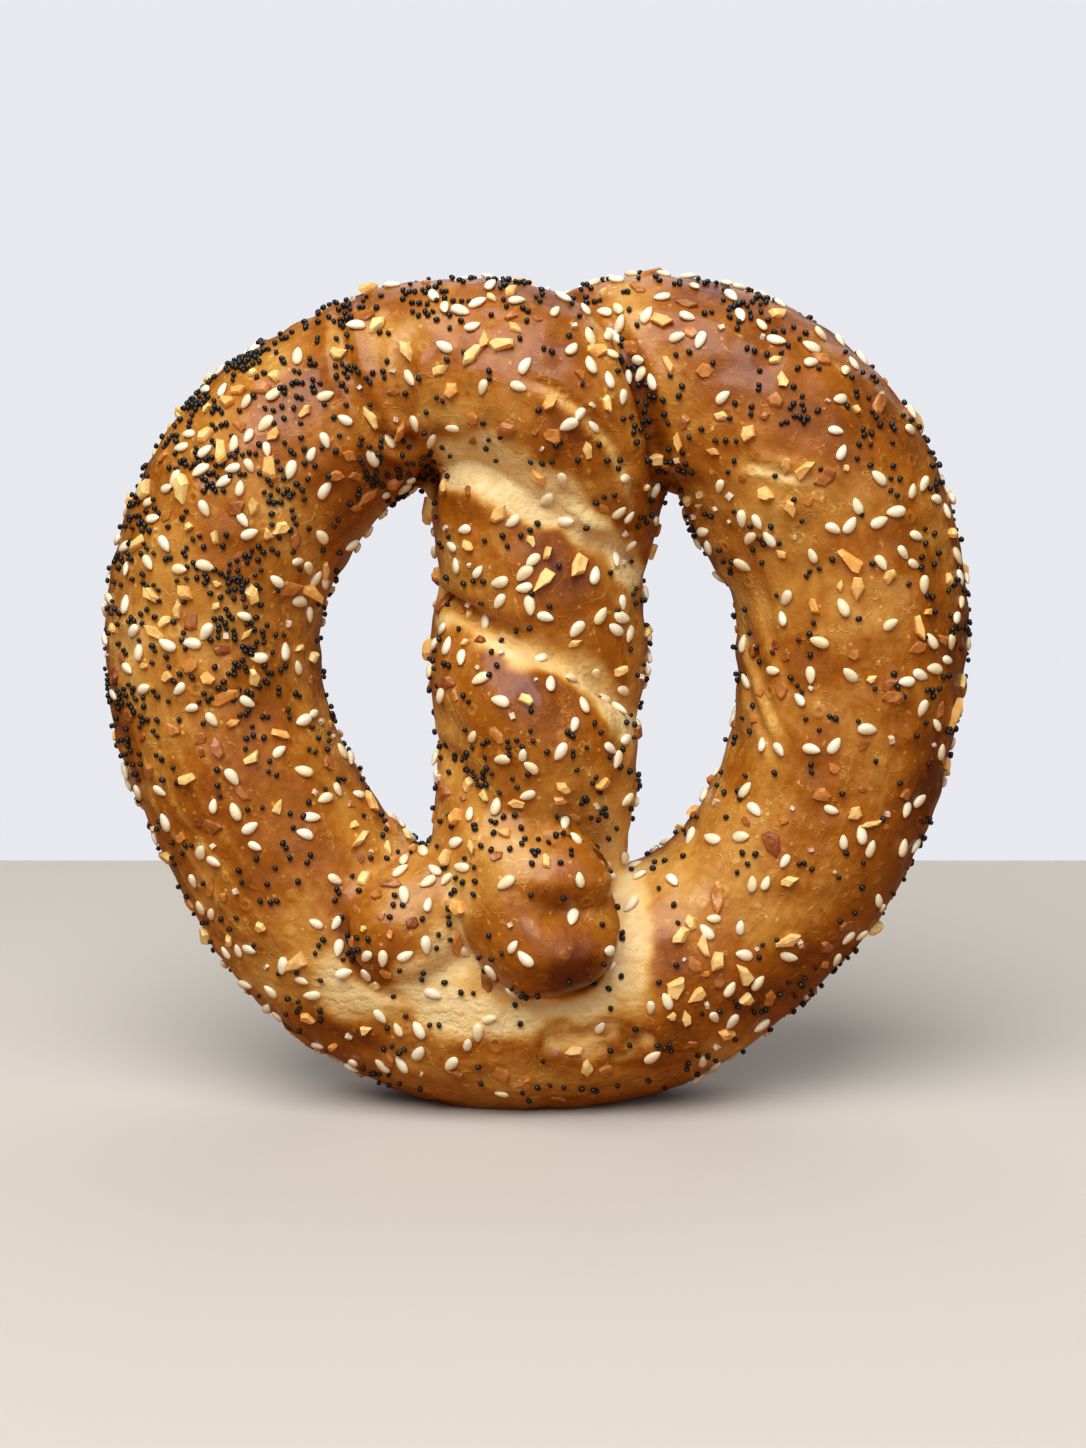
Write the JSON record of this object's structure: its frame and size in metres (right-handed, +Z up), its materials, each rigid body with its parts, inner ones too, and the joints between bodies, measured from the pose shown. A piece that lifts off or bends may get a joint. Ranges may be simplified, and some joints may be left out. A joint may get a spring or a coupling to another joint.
{
  "type": "soft pretzel",
  "caption": "Thick soft pretzel on its edge: a fat loop of glossy browned dough, its ends twisted down the middle and pressed on the front, scattered with seeds and flakes.",
  "frame": {"origin": "centre of the small flat spot that the pretzel stands on, under the middle of its loop", "axes": "+Z up from the flat spot through the twisted column, -Y out of the face that shows the knob and the nub, +X to the right as that face is seen"},
  "size_m": [0.15, 0.0457, 0.1433],
  "materials": {
    "crust": "glossy egg-washed bread crust, golden to mid brown, pale in the creases",
    "sesame": "hulled sesame seeds, cream, satin",
    "poppy": "poppy seeds, blue black, matt",
    "garlic": "dried garlic chips, pale yellow, matt",
    "onion": "toasted onion flakes, tan to brown, satin",
    "salt": "small salt crystals, off white, half clear"
  },
  "bodies": {
    "root": {"pretzel": "crust"}
  },
  "joints": []
}
